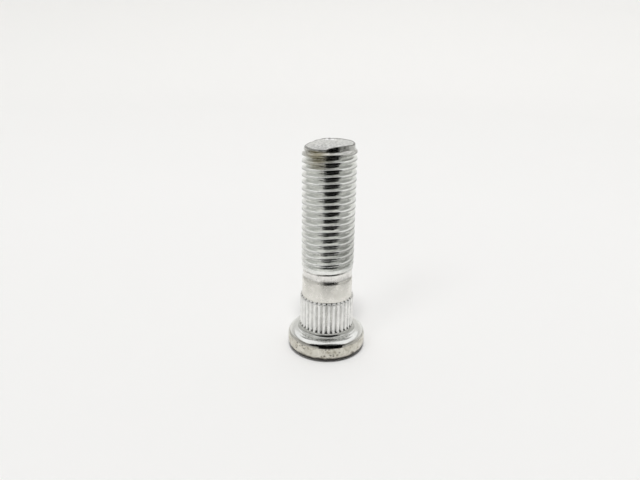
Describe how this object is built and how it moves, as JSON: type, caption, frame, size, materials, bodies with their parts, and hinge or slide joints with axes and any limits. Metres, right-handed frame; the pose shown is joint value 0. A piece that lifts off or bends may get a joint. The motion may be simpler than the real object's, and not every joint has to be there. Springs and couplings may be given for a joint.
{
  "type": "wheel stud",
  "caption": "Press-in wheel stud with a round head, a serrated band, a plain shank and a right-hand rolled thread up to a rounded point.",
  "frame": {"origin": "centre of the head's flat end, on the surface that the stud stands on", "axes": "+Z along the stud's axis, from the head towards the threaded point; the stud is round, so X and Y are free"},
  "size_m": [0.018, 0.018, 0.0492],
  "materials": {
    "zinc_plated_steel": "bright zinc plate over cold-forged steel"
  },
  "bodies": {
    "root": {"wheel_stud": "zinc_plated_steel"}
  },
  "joints": []
}
